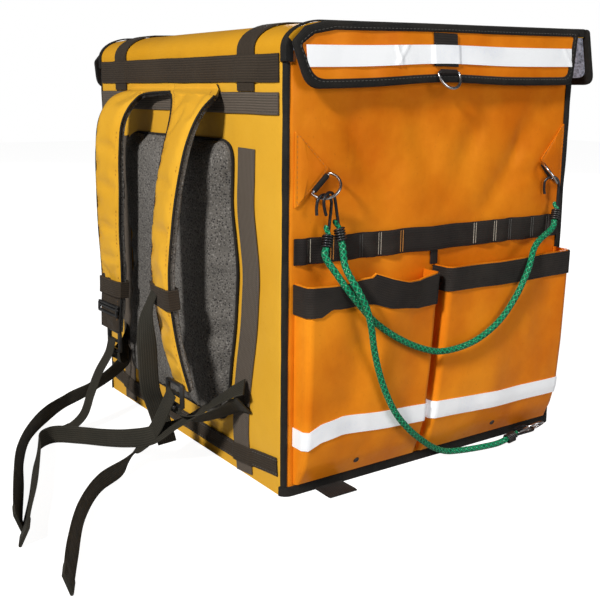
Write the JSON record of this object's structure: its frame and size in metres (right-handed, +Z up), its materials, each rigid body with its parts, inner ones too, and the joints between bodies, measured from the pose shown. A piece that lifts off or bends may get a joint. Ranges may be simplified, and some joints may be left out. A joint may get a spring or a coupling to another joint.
{
  "type": "insulated delivery backpack",
  "caption": "Box-shaped insulated delivery backpack in coated cloth with a flapped lid, padded shoulder straps, side pockets, rings and hooked elastic cords.",
  "frame": {"origin": "middle of the base, on the surface that the bag stands on", "axes": "+Z up, -Y out of the back panel with the shoulder straps, +X out of the side with the pockets"},
  "size_m": [0.4734, 0.6711, 0.4572],
  "materials": {
    "cover": "coated tarpaulin, satin, softly creased",
    "binding": "black woven edge tape",
    "webbing": "charcoal woven webbing",
    "mesh": "dark grey spacer mesh over foam",
    "tape": "white reflective tape",
    "plastic": "moulded black plastic",
    "steel": "nickel-plated wire",
    "wire": "dark coated wire",
    "cord": "green braided cover with pale flecks"
  },
  "bodies": {
    "root": {"body_shell": "cover", "lid_panel": "cover", "lid_flap_right": "cover", "lid_flap_left": "cover", "lid_flap_front": "cover", "pocket_left": "cover", "pocket_right": "cover", "ring_patch_left": "cover", "ring_patch_right": "cover", "shoulder_strap_right": "cover", "shoulder_strap_left": "cover", "flap_binding_right": "binding", "flap_binding_left": "binding", "flap_binding_front": "binding", "edge_binding_back_right": "binding", "edge_binding_back_left": "binding", "edge_binding_front_right": "binding", "edge_binding_front_left": "binding", "base_binding": "binding", "hinge_band": "webbing", "lower_back_webbing": "webbing", "upper_back_webbing": "webbing", "lid_webbing_left": "webbing", "lid_webbing_right": "webbing", "back_webbing_left": "webbing", "back_webbing_right": "webbing", "sternum_loop_right": "webbing", "sternum_loop_left": "webbing", "anchor_web_right": "webbing", "anchor_web_left": "webbing", "hip_tail_right": "webbing", "hip_tail_left": "webbing", "adjust_tail_right": "webbing", "adjust_tail_left": "webbing", "sternum_tail": "webbing", "loop_strip": "webbing", "pocket_band_left": "webbing", "pocket_band_right": "webbing", "pocket_divider": "webbing", "flap_ring_tab": "webbing", "base_tab_left": "webbing", "base_tab_right": "webbing", "back_pad": "mesh", "flap_stripe": "tape", "pocket_stripe_left": "tape", "pocket_stripe_right": "tape", "ladder_lock_right": "plastic", "ladder_lock_left": "plastic", "d_ring_left": "steel", "d_ring_right": "steel", "d_ring_flap": "steel", "d_ring_base": "steel", "hook_a_left": "wire", "hook_b_left": "wire", "hook_a_right": "wire", "hook_b_right": "wire", "bungee_a": "cord", "bungee_b": "cord"}
  },
  "joints": []
}
